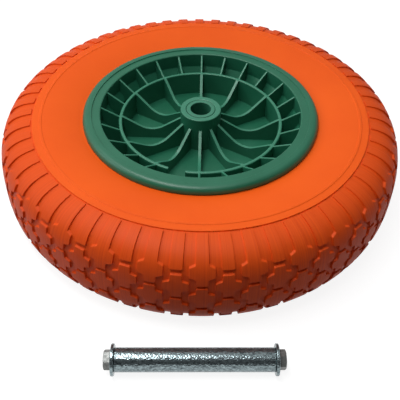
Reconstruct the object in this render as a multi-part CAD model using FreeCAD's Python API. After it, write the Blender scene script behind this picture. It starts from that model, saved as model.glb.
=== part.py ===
import FreeCAD, Part
import math
import os

# Wheelbarrow wheel lying on its side, with its axle set taken out and laid in front.
# Millimetres. The origin is the middle of the bore, +Z runs along the bore and points up.

# Tyre, one foamed piece
tyre_diameter = 400.0
tyre_width = 91.0
tyre_section = 82.0
tread_depth = 2.0
bar_height = 1.3
shoulder_depth = 33.6
crown_reach = 50.0
crown_width = 91.0
crown_squareness = 3.1
crown_flat = 16.0
crown_steps = 6
groove_width = 1.4
band_width = 8.0
ridge_width = 1.6
ridge_height = 0.5
sidewall_bulge = 1.2
sidewall_steps = 5

# Tread pattern: five staggered rows of crosses, and bars over both shoulders
cross_count = 29
tread_phase_deg = 10.6
row_spacing = 13.7
cross_width = 22.2
cross_height = 24.0
stem_width = 9.8
arm_tip_height = 8.4
arm_root_height = 11.2
cross_gap = 4.0
bar_angle_deg = 3.1

# Rim, one moulded piece
rim_width = 88.5
flange_height = 14.0
flange_thickness = 7.4
flange_bead_width = 9.0
flange_bead_rise = 1.1
flange_round = 5.5
flange_round_steps = 4
rim_edge = 1.5
barrel_wall = 3.5
ledge_width = 6.5
ledge_drop = 17.0
ledge_height = 10.0
outer_pocket = 11.0
web_thickness = 10.0
ring_wall = 3.6
ring_height = 62.0
spoke_count = 12
spoke_thickness = 2.8
spoke_dip = 19.2
spoke_dip_round = 22.0
short_rib_thickness = 2.4
short_rib_rise = 11.5
missing_rib = 17
valve_gap_deg = 11.7
tyre_clearance = 0.1

# Hub and its two bushes
hub_recess = 1.25
hub_wall = 5.9
bush_wall = 4.25
bush_length = 24.0
bush_edge = 0.6
core_clearance = 1.5

# Axle set
axle_diameter = 20.0
axle_length = 130.0
axle_edge = 0.8
axle_gap = 22.0
axle_turn_deg = 1.5
running_play = 0.25
bolt_diameter = 9.5
bolt_length = 25.0
bolt_flats = 14.3
bolt_head_height = 6.0
bolt_face_height = 0.6
bolt_chamfer_deg = 30.0
bolt_turn_deg = 14.5
thread_play = 0.05
tap_spare = 6.0
washer_diameter = 25.4
washer_thickness = 2.5
washer_play = 0.8

# Lengths and degrees that differ by less than this count as equal
tolerance = 0.001

CENTRE = FreeCAD.Vector(0, 0, 0)
UP = FreeCAD.Vector(0, 0, 1)
SIDEWAYS = FreeCAD.Vector(0, 1, 0)
HEXAGON = 6

# Radii that follow from the sizes, from the tread inwards
tyre_radius = tyre_diameter / 2
crown_centre = tyre_radius - crown_reach
groove_radius = tyre_radius - shoulder_depth
ridge_radius = groove_radius - band_width
flange_radius = tyre_radius - tyre_section
barrel_radius = flange_radius - flange_height
barrel_inside = barrel_radius - barrel_wall
ledge_radius = barrel_inside - ledge_width
ring_radius = ledge_radius - outer_pocket
ring_inside = ring_radius - ring_wall

# Radii that follow from the sizes, from the bore outwards
bore_radius = axle_diameter / 2 + running_play
bush_radius = bore_radius + bush_wall
hub_radius = bush_radius + hub_wall

# Heights, places and angles that follow from the sizes
bead_half_width = rim_width / 2 - flange_thickness - tyre_clearance
hub_length = rim_width - 2 * hub_recess
floor_height = -tyre_width / 2
axle_rest_radius = max(washer_diameter, axle_diameter) / 2
axle_height = floor_height + axle_rest_radius
axle_distance = tyre_radius + axle_gap + axle_rest_radius
cross_pitch_deg = 360 / cross_count
rib_pitch_deg = 360 / spoke_count / 2


def point(radius, height):
    """Point of a section in the plane Y = 0."""
    return FreeCAD.Vector(radius, 0, height)


def mirrored(half):
    """Upper half of an outline, followed by its mirror image below the middle plane."""
    return half + [point(p.x, -p.z) for p in reversed(half)]


def ring(outline, start_deg=0.0, sweep_deg=360.0):
    """Solid turned about the wheel's axis from a closed outline."""
    face = Part.Face(Part.makePolygon(outline + [outline[0]]))
    return face.rotated(CENTRE, UP, start_deg).revolve(CENTRE, UP, sweep_deg)


def turned(shape, angle_deg):
    """Copy of a shape turned about the wheel's axis."""
    return shape.rotated(CENTRE, UP, angle_deg)


def plate(outline, thickness, angle_deg):
    """Rib of even thickness that stands on a radius of the wheel."""
    face = Part.Face(Part.Wire(outline))
    face.translate(FreeCAD.Vector(0, -thickness / 2, 0))
    return turned(face.extrude(FreeCAD.Vector(0, thickness, 0)), angle_deg)


def closed_edges(points):
    """Straight edges from each point to the next and back to the first."""
    ends = points[1:] + points[:1]
    return [Part.makeLine(a, b) for a, b in zip(points, ends)]


def crown(radius, half_width):
    """Upper half of the tread's outline, from the groove to the middle plane."""
    points = [point(radius, crown_flat / 2)]
    for step in range(1, crown_steps):
        turn = math.radians(90 * step / crown_steps)
        across = math.cos(turn) ** (2 / crown_squareness)
        height = half_width * math.sin(turn) ** (2 / crown_squareness)
        points.append(point(crown_centre + (radius - crown_centre) * across, height))
    beyond = [p for p in points if p.x > groove_radius + groove_width]
    return beyond[::-1]


def crown_height(radius, half_width, at_radius):
    """Height of the tread's outline above the middle plane at one radius."""
    share = (at_radius - crown_centre) / (radius - crown_centre)
    return half_width * (1 - share ** crown_squareness) ** (1 / crown_squareness)


def sidewall():
    """Upper half of the sidewall's outline, from the seat on the rim to the groove."""
    top = tyre_width / 2
    band = top - ridge_height
    groove_top = crown_height(tyre_radius, crown_width / 2, groove_radius)
    foot = point(flange_radius, bead_half_width)
    shoulder = point(ridge_radius - ridge_width, band)
    middle = (foot + shoulder) / 2 + point(0, sidewall_bulge)
    bulge = Part.Arc(foot, middle, shoulder).toShape()
    return [
        point(barrel_radius + tyre_clearance, bead_half_width),
        *bulge.discretize(sidewall_steps),
        point(ridge_radius - ridge_width / 2, top),
        point(ridge_radius + ridge_width / 2, top),
        point(ridge_radius + ridge_width, band),
        point(groove_radius, groove_top),
    ]


def groove():
    """Step from the sidewall down to the floor between the bars."""
    floor = crown_height(tyre_radius - tread_depth, crown_width / 2 - bar_height, groove_radius)
    return [point(groove_radius, floor), point(groove_radius + groove_width, floor)]


def cross_corners(start, height):
    """Corners of one cross at a height: upright stem and arms that taper to their tips."""
    quarter = [
        (cross_width / 2, arm_tip_height / 2),
        (stem_width / 2, arm_root_height / 2),
        (stem_width / 2, cross_height / 2),
    ]
    upper = quarter + [(-across, up) for across, up in reversed(quarter)]
    whole = upper + [(-across, -up) for across, up in upper]
    return [FreeCAD.Vector(start, across, height + up) for across, up in whole]


def tread_prisms(phase_deg, row_heights, bar_ends):
    """Crosses and bars of one half pitch, as prisms that run out past the tread."""
    reach = tyre_radius + tread_depth
    floor = groove_radius + groove_width
    blocks = []
    for height in row_heights:
        corners = cross_corners(floor, height)
        face = Part.Face(Part.makePolygon(corners + corners[:1]))
        blocks.append(face.extrude(FreeCAD.Vector(reach - floor, 0, 0)))
    for start in bar_ends:
        half = math.tan(math.radians(bar_angle_deg / 2))
        corners = [
            FreeCAD.Vector(floor, -floor * half, start),
            FreeCAD.Vector(reach, -reach * half, start),
            FreeCAD.Vector(reach, reach * half, start),
            FreeCAD.Vector(floor, floor * half, start),
        ]
        length = math.copysign(tyre_width, start)
        blocks.append(Part.Face(Part.makePolygon(corners + corners[:1])).extrude(UP * length))
    return [turned(block, phase_deg) for block in blocks]


def tyre():
    """Foamed tyre: one pitch of the tread, repeated round the wheel and sewn to one skin."""
    pitch = cross_pitch_deg
    start = tread_phase_deg - pitch / 2
    floor = crown(tyre_radius - tread_depth, crown_width / 2 - bar_height)
    body = ring(mirrored(sidewall() + groove() + floor), start, pitch)
    foot_radius = groove_radius + groove_width
    foot = point(foot_radius, crown_height(tyre_radius, crown_width / 2, foot_radius))
    envelope = ring(mirrored([foot] + crown(tyre_radius, crown_width / 2)), start, pitch)

    outer_row = 2 * row_spacing
    free_bar = row_spacing + cross_height / 2 + cross_gap
    blocks = []
    for turn in (-1, 0, 1):
        phase = tread_phase_deg + turn * pitch
        blocks += tread_prisms(phase, (-outer_row, 0, outer_row), (-outer_row, outer_row))
        blocks += tread_prisms(phase + pitch / 2, (-row_spacing, row_spacing), (-free_bar, free_bar))
    relief = envelope.common(blocks[0].multiFuse(blocks[1:]))
    sector = body.fuse(relief).removeSplitter()

    patch = Part.Compound([face for face in sector.Faces if not on_cut(face, start, pitch)])
    whole = Part.Compound([turned(patch, turn * pitch) for turn in range(cross_count)])
    whole.sewShape(tolerance)
    return Part.Solid(whole.Shells[0])


def on_cut(face, start_deg, sweep_deg):
    """Whether a face of a sector lies on one of the two planes that bound it."""
    middle = face.CenterOfMass
    angle = math.degrees(math.atan2(middle.y, middle.x))
    return min(abs(angle - start_deg), abs(angle - start_deg - sweep_deg)) < tolerance


def flange_lip(top):
    """Round outer lip of the flange, as short flats."""
    turns = [math.radians(90 * step / flange_round_steps) for step in range(flange_round_steps + 1)]
    middle = point(flange_radius - flange_round, top - flange_round)
    return [middle + point(math.sin(turn), math.cos(turn)) * flange_round for turn in turns]


def rim_section():
    """Upper half of the rim's outline: hub end, web, stepped barrel and beaded flange."""
    top = rim_width / 2
    flat = top - flange_bead_rise
    lip = rim_edge
    bead_radius = flange_radius - flange_bead_width
    return [
        point(bush_radius, hub_length / 2),
        point(hub_radius, hub_length / 2),
        point(hub_radius, web_thickness / 2),
        point(ledge_radius, web_thickness / 2),
        point(ledge_radius, top - ledge_drop - ledge_height),
        point(barrel_inside, top - ledge_drop),
        point(barrel_inside, flat - lip),
        point(barrel_inside + lip, flat),
        point(bead_radius, flat),
        point(bead_radius, top),
        *flange_lip(top),
        point(flange_radius, top - flange_thickness),
        point(barrel_radius, top - flange_thickness),
    ]


def hub_bore():
    """Stepped hole of the hub: a seat for a bush at each end and a wider core between."""
    seat = hub_length / 2 - bush_length
    core = bore_radius + core_clearance
    return [point(core, seat), point(bush_radius, seat)]


def dipped_edge(points):
    """Edges of a spoke's side: two straight runs to a round bottom and two back up."""
    start, near, down, bottom, up, far, end = points
    return [
        Part.makeLine(start, near),
        Part.makeLine(near, down),
        Part.Arc(down, bottom, up).toShape(),
        Part.makeLine(up, far),
        Part.makeLine(far, end),
    ]


def spoke(angle_deg):
    """Plate from the hub to the ring wall, whose edges dip towards the web."""
    end = ring_height / 2
    middle = (hub_radius + ring_inside) / 2
    half_span = (ring_inside - hub_radius) / 2
    slope = math.atan2(spoke_dip, half_span)
    reach = min(spoke_dip_round * math.sin(slope), half_span / 2)
    bend = end - spoke_dip + reach * math.tan(slope)
    bottom = end - spoke_dip + reach * (1 / math.cos(slope) - 1) / math.sin(slope)
    top = [
        point(hub_radius - hub_wall / 2, end),
        point(hub_radius, end),
        point(middle - reach, bend),
        point(middle, bottom),
        point(middle + reach, bend),
        point(ring_inside, end),
        point(ring_inside + ring_wall / 2, end),
    ]
    low = [point(p.x, -p.z) for p in top]
    outer_end = Part.makeLine(top[-1], low[-1])
    inner_end = Part.makeLine(low[0], top[0])
    edges = dipped_edge(top) + [outer_end] + dipped_edge(low[::-1]) + [inner_end]
    return plate(edges, spoke_thickness, angle_deg)


def short_rib(angle_deg):
    """Plate from the ring wall to the barrel, whose edges rise towards the flange."""
    low_end = ring_height / 2
    top = [
        point(ring_radius - ring_wall / 2, low_end),
        point(ring_radius, low_end),
        point(barrel_inside + barrel_wall / 2, low_end + short_rib_rise),
    ]
    return plate(closed_edges(mirrored(top)), short_rib_thickness, angle_deg)


def rim():
    """Moulded rim with its hub, web, ring wall and ribs in one piece."""
    body = ring(mirrored(hub_bore() + rim_section()))
    wall_outline = [point(ring_inside, ring_height / 2), point(ring_radius, ring_height / 2)]
    wall_start = missing_rib * rib_pitch_deg + valve_gap_deg / 2
    wall = ring(mirrored(wall_outline), wall_start, 360 - valve_gap_deg)
    spokes = [spoke(2 * turn * rib_pitch_deg) for turn in range(spoke_count)]
    kept = [turn for turn in range(2 * spoke_count) if turn != missing_rib]
    short_ribs = [short_rib(turn * rib_pitch_deg) for turn in kept]
    return body.multiFuse([wall] + spokes + short_ribs).removeSplitter()


def bush(side):
    """Plain bush pressed into one end of the hub; side is +1 for the upper end."""
    top = side * hub_length / 2
    bottom = top - side * bush_length
    outline = [
        point(bore_radius + bush_edge, top),
        point(bush_radius - bush_edge, top),
        point(bush_radius, top - side * bush_edge),
        point(bush_radius, bottom),
        point(bore_radius, bottom),
        point(bore_radius, top - side * bush_edge),
    ]
    return ring(outline)


def laid_down(shape, side=1):
    """Piece modelled along +Z from the axle's middle, laid in front of the wheel."""
    lying = shape.rotated(CENTRE, SIDEWAYS, 90 * side).rotated(CENTRE, UP, axle_turn_deg)
    return lying.translated(FreeCAD.Vector(0, -axle_distance, axle_height))


def axle_bar():
    """Round bar with a tapped hole in each end."""
    radius = axle_diameter / 2
    hole = bolt_diameter / 2 + thread_play
    end = axle_length / 2
    tap_end = end - (bolt_length - washer_thickness + tap_spare)
    half = [
        point(0, tap_end),
        point(hole, tap_end),
        point(hole, end),
        point(radius - axle_edge, end),
        point(radius, end - axle_edge),
    ]
    return laid_down(ring(mirrored(half)))


def washer(side):
    """Flat washer against one end of the axle bar."""
    start = axle_length / 2
    hole = bolt_diameter / 2 + washer_play
    outline = [
        point(hole, start),
        point(washer_diameter / 2, start),
        point(washer_diameter / 2, start + washer_thickness),
        point(hole, start + washer_thickness),
    ]
    return laid_down(ring(outline), side)


def bolt(side):
    """Hexagon bolt that holds one washer; its thread is plain."""
    seat = axle_length / 2 + washer_thickness
    base = seat + bolt_face_height
    head_height = bolt_head_height - bolt_face_height
    shank = Part.makeCylinder(bolt_diameter / 2, bolt_length, UP * (seat - bolt_length))
    face = Part.makeCylinder(bolt_flats / 2, bolt_face_height, UP * seat)
    corner = bolt_flats / 2 / math.cos(math.pi / HEXAGON)
    turns = [math.radians(bolt_turn_deg + 360 * turn / HEXAGON) for turn in range(HEXAGON)]
    corners = [FreeCAD.Vector(corner * math.cos(t), corner * math.sin(t), base) for t in turns]
    prism = Part.Face(Part.makePolygon(corners + corners[:1])).extrude(UP * head_height)
    spread = head_height / math.tan(math.radians(bolt_chamfer_deg))
    cone = Part.makeCone(bolt_flats / 2 + spread, bolt_flats / 2, head_height, UP * base)
    return laid_down(shank.fuse([face, prism.common(cone)]).removeSplitter(), side)


os.makedirs("parts", exist_ok=True)
nodes = {
    "tyre": tyre(),
    "rim": rim(),
    "bush_upper": bush(1),
    "bush_lower": bush(-1),
    "axle_bar": axle_bar(),
    "washer_left": washer(-1),
    "washer_right": washer(1),
    "bolt_left": bolt(-1),
    "bolt_right": bolt(1),
}
for name, shape in nodes.items():
    shape.exportStep(f"parts/{name}.step")
    box = shape.BoundBox
    print(name, shape.ShapeType, shape.isValid(), len(shape.Solids), len(shape.Faces),
          round(shape.Volume), round(box.XLength, 2), round(box.YLength, 2), round(box.ZLength, 2))
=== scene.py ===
"""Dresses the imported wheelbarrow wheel: foamed tyre, ribbed rim with bushes, and the axle set in front."""

import logging
import math
from dataclasses import dataclass
from enum import Enum
from typing import ClassVar

import bmesh
import bpy
import numpy as np
from bmesh.types import BMesh, BMVert
from bpy.types import Material, Mesh, Node, NodeOutputs, NodeSocket, NodeTree, Object
from mathutils import Matrix, Vector, geometry


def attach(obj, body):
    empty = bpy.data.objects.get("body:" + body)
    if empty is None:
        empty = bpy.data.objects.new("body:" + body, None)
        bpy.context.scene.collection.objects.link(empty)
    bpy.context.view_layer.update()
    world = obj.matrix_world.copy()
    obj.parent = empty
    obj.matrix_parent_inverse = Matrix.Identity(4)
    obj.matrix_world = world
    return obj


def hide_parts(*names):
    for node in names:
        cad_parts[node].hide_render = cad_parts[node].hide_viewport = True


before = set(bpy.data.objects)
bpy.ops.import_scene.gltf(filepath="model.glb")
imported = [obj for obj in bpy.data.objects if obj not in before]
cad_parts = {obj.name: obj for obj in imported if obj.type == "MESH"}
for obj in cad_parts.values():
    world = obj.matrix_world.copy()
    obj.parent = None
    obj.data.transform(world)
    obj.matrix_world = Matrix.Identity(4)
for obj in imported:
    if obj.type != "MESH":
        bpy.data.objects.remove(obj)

LOG = logging.getLogger("wheel")
MM = 0.001
BODY = "root"
HEXAGON = 6
FULL_TURN_DEG = 360.0
TINY = 1e-4  # millimetres or degrees that count as nothing
SHARP_DEG = 35.0  # least turn of an edge that stays sharp, where a piece has no other
FACE_WEIGHT = 80  # pull of large faces on the shading beside them, 50 is even

Point = tuple[float, float]
Corner = tuple[float, float, float]
Colour = tuple[float, float, float]
Values = dict[str | int, object]


class Zone(Enum):
    """Part of a moulded piece with painted light in its colour: streaks and painted shade on the tread, a
    painted highlight on level tops. The value names its shader group.
    """

    TREAD = "streaked tread"
    TOPS = "rubbed tops"


class Side(Enum):
    """Which end of the wheel or of the axle a piece belongs to."""

    PLUS = 1
    MINUS = -1

    def pick(self, plus: str, minus: str) -> str:
        """Word that goes with the side."""
        return plus if self is Side.PLUS else minus


def softened(corners: list[Corner], steps: int = 3) -> list[Point]:
    """Rounds the corners of a closed outline.

    Args:
        corners: Points as (x, y, radius), where radius 0 keeps a corner sharp.
        steps: Straight pieces in each rounded corner.

    Returns:
        The points of the rounded outline.
    """
    points: list[Point] = []
    for i, (x, y, radius) in enumerate(corners):
        here = Vector((x, y))
        if radius <= 0:
            points.append((x, y))
            continue
        to_last = (Vector(corners[i - 1][:2]) - here).normalized()
        to_next = (Vector(corners[(i + 1) % len(corners)][:2]) - here).normalized()
        half = to_last.angle(to_next) / 2
        centre = here + (to_last + to_next).normalized() * radius / math.sin(half)
        first = here + to_last * radius / math.tan(half) - centre
        last = here + to_next * radius / math.tan(half) - centre
        sweep = first.angle(last)
        for k in range(steps + 1):
            a, b = math.sin(sweep * (1 - k / steps)), math.sin(sweep * k / steps)
            points.append(tuple(centre + (first * a + last * b) / math.sin(sweep)))
    return points


def both_halves(half: list[Corner]) -> list[Corner]:
    """Upper half of an outline followed by its mirror image below the middle plane."""
    return half + [(x, -y, radius) for x, y, radius in reversed(half)]


def polar(radius: float, angle: float, height: float) -> Corner:
    """Point at a distance from the Z axis."""
    return (radius * math.cos(angle), radius * math.sin(angle), height)


def rows_of(bm: BMesh, rows: list[list[Corner]]) -> list[list[BMVert]]:
    """Adds rows of points to a mesh."""
    return [[bm.verts.new(point) for point in row] for row in rows]


def strip(bm: BMesh, row: list[BMVert], after: list[BMVert], closed: bool = True) -> None:
    """Joins two rows of points with faces, all the way round if they are closed.

    Args:
        bm: Mesh to add to.
        row: Points of one row.
        after: As many points of the next row.
        closed: Whether the last point joins on the first.
    """
    for k in range(len(row) if closed else len(row) - 1):
        m = (k + 1) % len(row)
        bm.faces.new((row[k], after[k], after[m], row[m]))


def turned(
    outline: list[Point], columns: int, start_deg: float = 0.0, sweep_deg: float = FULL_TURN_DEG
) -> BMesh:
    """Turns a closed outline about the Z axis.

    Args:
        outline: Points as (radius, height).
        columns: Steps round the sweep.
        start_deg: Angle of the first column.
        sweep_deg: Angle that is swept; less than a full turn gets flat ends.

    Returns:
        A closed mesh, in the outline's own unit.
    """
    bm = bmesh.new()
    full = abs(sweep_deg - FULL_TURN_DEG) < TINY
    stops = columns if full else columns + 1
    angles = [math.radians(start_deg + sweep_deg * i / columns) for i in range(stops)]
    rings = rows_of(bm, [[polar(r, a, z) for r, z in outline] for a in angles])
    for i in range(columns):
        strip(bm, rings[i], rings[(i + 1) % len(rings)])
    if not full:
        bm.faces.new(rings[0])
        bm.faces.new(rings[-1][::-1])
    bmesh.ops.recalc_face_normals(bm, faces=bm.faces)
    return bm


def extruded(outline: list[Point], thickness: float) -> BMesh:
    """Plate in the XZ plane, of even thickness along Y.

    Args:
        outline: Points as (x, z).
        thickness: Thickness of the plate.

    Returns:
        A closed mesh with its middle on the plane Y = 0.
    """
    bm = bmesh.new()
    near, far = rows_of(bm, [[(x, side * thickness / 2, z) for x, z in outline] for side in (-1, 1)])
    bm.faces.new(near)
    bm.faces.new(far[::-1])
    strip(bm, near, far)
    bmesh.ops.recalc_face_normals(bm, faces=bm.faces)
    return bm


def eased(bm: BMesh, width: float, least_deg: float = 50.0, steps: int = 2) -> BMesh:
    """Rounds the edges of a mesh that turn by more than an angle.

    Args:
        bm: Mesh to change.
        width: Width of the rounding.
        least_deg: Least turn of an edge that is rounded.
        steps: Strips across the rounding.

    Returns:
        The same mesh.
    """
    sharp = [e for e in bm.edges if e.is_manifold and e.calc_face_angle(0.0) > math.radians(least_deg)]
    bmesh.ops.bevel(
        bm, geom=sharp, offset=width, segments=steps, profile=0.5, affect="EDGES", clamp_overlap=True
    )
    return bm


def smoothed(bm: BMesh, sharp_deg: float) -> None:
    """Smooths the faces of a mesh and marks the edges that turn by more than an angle as sharp.

    Args:
        bm: Mesh to change.
        sharp_deg: Least turn of a sharp edge.
    """
    bmesh.ops.recalc_face_normals(bm, faces=bm.faces)
    for face in bm.faces:
        face.smooth = True
    for edge in bm.edges:
        edge.smooth = edge.is_manifold and edge.calc_face_angle(0.0) < math.radians(sharp_deg)


def mesh_of(bm: BMesh, name: str, sharp_deg: float = SHARP_DEG) -> Mesh:
    """Writes a mesh in metres with smooth faces and sharp edges, and frees it.

    Args:
        bm: Mesh in millimetres.
        name: Name of the new mesh.
        sharp_deg: Least turn of an edge that stays sharp.

    Returns:
        The new mesh.
    """
    bmesh.ops.remove_doubles(bm, verts=bm.verts, dist=TINY)
    smoothed(bm, sharp_deg)
    bmesh.ops.scale(bm, vec=(MM, MM, MM), verts=bm.verts)
    mesh = bpy.data.meshes.new(name)
    bm.to_mesh(mesh)
    bm.free()
    return mesh


def placed(mesh: Mesh, finish: Material | None = None) -> Object:
    """Links a new object at the origin, named as its mesh, with a material if one is given.

    Args:
        mesh: Mesh of the object.
        finish: Material of all its faces.

    Returns:
        The new object.
    """
    piece = bpy.data.objects.new(mesh.name, mesh)
    if finish:
        mesh.materials.append(finish)
    bpy.context.scene.collection.objects.link(piece)
    return piece


def baked(piece: Object) -> Object:
    """Turns the result of a piece's modifiers into its plain mesh.

    Args:
        piece: Object with live modifiers.

    Returns:
        The same object without them.
    """
    result = piece.evaluated_get(bpy.context.evaluated_depsgraph_get())
    mesh = bpy.data.meshes.new_from_object(result)
    mesh.name = piece.name
    piece.modifiers.clear()
    piece.data = mesh
    return piece


def declared(piece: Object, slot: str, *nodes: str) -> Object:
    """Shades a piece evenly and rides it on the wheel, in place of its solids.

    Args:
        piece: The piece, at the origin. Its large faces stay flat beside small rounded edges.
        slot: Material slot of the record; not used.
        nodes: Solids that it stands for.

    Returns:
        The same piece.
    """
    weigh = piece.modifiers.new("weigh", "WEIGHTED_NORMAL")
    weigh.keep_sharp = True
    weigh.weight = FACE_WEIGHT
    baked(piece)
    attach(piece, BODY)
    if nodes:
        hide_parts(*nodes)
    LOG.info("%s: %d faces", piece.name, len(piece.data.polygons))
    return piece


def dressed(bm: BMesh, node: str, slot: str, finish: Material, sharp_deg: float = SHARP_DEG) -> Object:
    """Stands a mesh in millimetres in place of one solid, and names it after the solid."""
    return declared(placed(mesh_of(bm, f"{node}_skin", sharp_deg), finish), slot, node)


class NodeBuilder:
    """Adds nodes to a tree. An input takes a plain value or the output it is linked to."""

    def __init__(self, tree: NodeTree) -> None:
        """Keeps the tree that is filled."""
        self.tree = tree

    def set(self, node: Node, values: Values) -> Node:
        """Sets or links inputs of a node by name or index.

        Args:
            node: Node to change.
            values: Plain value or output for each input.

        Returns:
            The same node.
        """
        for key, value in values.items():
            if isinstance(value, NodeSocket):
                self.tree.links.new(value, node.inputs[key])
            else:
                node.inputs[key].default_value = value
        return node

    def add(self, kind: str, values: Values | None = None, **settings: object) -> Node:
        """Adds one node.

        Args:
            kind: Blender's name of the node.
            values: Plain values or outputs for its inputs, by name or index.
            settings: Properties of the node.

        Returns:
            The new node.
        """
        node = self.tree.nodes.new(kind)
        for key, value in settings.items():
            setattr(node, key, value)
        return self.set(node, values or {})

    def math(self, operation: str, *values: object, clamp: bool = False) -> NodeSocket:
        """Output of a sum on numbers or outputs."""
        node = self.add("ShaderNodeMath", dict(enumerate(values)), operation=operation, use_clamp=clamp)
        return node.outputs[0]

    def spread(
        self, value: NodeSocket, start: float, end: float, low: float = 0.0, high: float = 1.0
    ) -> NodeSocket:
        """Maps a value that runs from start to end on low to high."""
        node = self.add("ShaderNodeMapRange", {"Value": value, 1: start, 2: end, 3: low, 4: high})
        return node.outputs["Result"]

    def blend(self, share: NodeSocket, first: object, second: object) -> NodeSocket:
        """Colour between two colours or outputs."""
        node = self.add("ShaderNodeMix", {"Factor": share, 6: first, 7: second}, data_type="RGBA")
        return node.outputs[2]

    def noise(self, vector: NodeSocket, scale: object, detail: float, roughness: float = 0.5) -> NodeSocket:
        """Noise over a vector."""
        values = {"Vector": vector, "Scale": scale, "Detail": detail, "Roughness": roughness}
        return self.add("ShaderNodeTexNoise", values).outputs["Fac"]

    def place(self) -> NodeSocket:
        """Point on the surface, in the object's own coordinates."""
        return self.add("ShaderNodeTexCoord").outputs["Object"]

    def parts(self, vector: NodeSocket) -> NodeOutputs:
        """Outputs X, Y and Z of a vector."""
        return self.add("ShaderNodeSeparateXYZ", {0: vector}).outputs

    def closed(self, result: NodeSocket) -> NodeTree:
        """Ends a group with its one output and gives its tree."""
        self.add("NodeGroupOutput", {0: result})
        return self.tree


class RingOfCopies:
    """Geometry Nodes tree that repeats a shape at even angles round the wheel's axis."""

    NAME = "ring of copies"

    def __init__(self) -> None:
        """Builds the tree with its named inputs."""
        self.tree = bpy.data.node_groups.new(self.NAME, "GeometryNodeTree")
        face = self.tree.interface
        face.new_socket("Geometry", in_out="INPUT", socket_type="NodeSocketGeometry")
        self.sockets = {
            name: face.new_socket(name, in_out="INPUT", socket_type=kind).identifier
            for name, kind in (
                ("Copies", "NodeSocketInt"),
                ("Step", "NodeSocketFloat"),
                ("Left Out", "NodeSocketInt"),
                ("Join Within", "NodeSocketFloat"),
                ("Finish", "NodeSocketMaterial"),
            )
        }
        face.new_socket("Geometry", in_out="OUTPUT", socket_type="NodeSocketGeometry")
        nodes = NodeBuilder(self.tree)
        given = nodes.add("NodeGroupInput").outputs
        points = nodes.add("GeometryNodeMeshLine", {"Count": given["Copies"], "Offset": (0.0, 0.0, 0.0)})
        index = nodes.add("GeometryNodeInputIndex").outputs[0]
        kept = nodes.add(
            "FunctionNodeCompare", {2: index, 3: given["Left Out"]}, data_type="INT", operation="NOT_EQUAL"
        )
        turn = nodes.add("ShaderNodeCombineXYZ", {"Z": nodes.math("MULTIPLY", index, given["Step"])})
        copies = nodes.add(
            "GeometryNodeInstanceOnPoints",
            {
                "Points": points.outputs["Mesh"],
                "Selection": kept.outputs[0],
                "Instance": given["Geometry"],
                "Rotation": turn.outputs[0],
            },
        )
        real = nodes.add("GeometryNodeRealizeInstances", {0: copies.outputs[0]})
        joined = nodes.add(
            "GeometryNodeMergeByDistance", {"Geometry": real.outputs[0], "Distance": given["Join Within"]}
        )
        covered = nodes.add(
            "GeometryNodeSetMaterial", {"Geometry": joined.outputs[0], "Material": given["Finish"]}
        )
        nodes.closed(covered.outputs[0])

    def repeat(self, mesh: Mesh, copies: int, finish: Material, left_out: int = -1) -> Object:
        """Repeats a mesh round the axis.

        Args:
            mesh: Mesh of one copy, in its place.
            copies: Copies in a full turn.
            finish: Material of the result.
            left_out: Number of a copy that is missing, or -1.

        Returns:
            A new object with the plain mesh of all copies.
        """
        piece = placed(mesh)
        ring = piece.modifiers.new(self.NAME, "NODES")
        ring.node_group = self.tree
        for name, value in (
            ("Copies", copies),
            ("Step", math.tau / copies),
            ("Left Out", left_out),
            ("Join Within", 10 * TINY * MM),
            ("Finish", finish),
        ):
            ring[self.sockets[name]] = value
        return baked(piece)


@dataclass(frozen=True)
class Level:
    """Line round a block: how far in from the wall, and how high above the floor or below the top."""

    inset: float
    above_floor: float | None = None
    below_top: float | None = None


BLOCK_LEVELS = (
    Level(-0.25, above_floor=0.0),
    Level(-0.06, above_floor=0.18),
    Level(0.04, below_top=0.3),
    Level(0.12, below_top=0.09),
    Level(0.34, below_top=0.0),
)


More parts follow.
